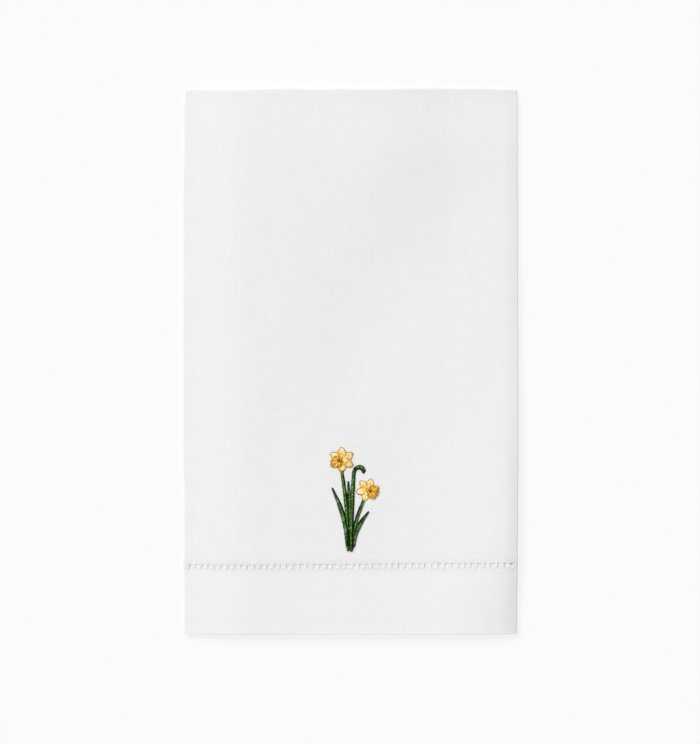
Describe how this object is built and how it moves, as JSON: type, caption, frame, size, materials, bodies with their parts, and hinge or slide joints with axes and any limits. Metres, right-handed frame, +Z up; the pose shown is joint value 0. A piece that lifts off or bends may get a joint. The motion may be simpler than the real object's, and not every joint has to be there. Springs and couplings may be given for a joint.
{
  "type": "hand towel",
  "caption": "linen hand towel with hemstitched ends and a small embroidered flower spray, folded in three along its length and in half across it, lying flat",
  "frame": {"origin": "centre of the footprint on the surface, at the bottom of the bounding box", "axes": "+X across the folded towel to the right as its face is seen, +Y along it from the loose hemmed ends to the top fold, +Z up from the surface"},
  "size_m": [0.156, 0.2538, 0.0079],
  "materials": {
    "linen": "matt plain-woven white linen, washed and ironed"
  },
  "bodies": {
    "root": {"towel_cloth": "linen"}
  },
  "joints": []
}
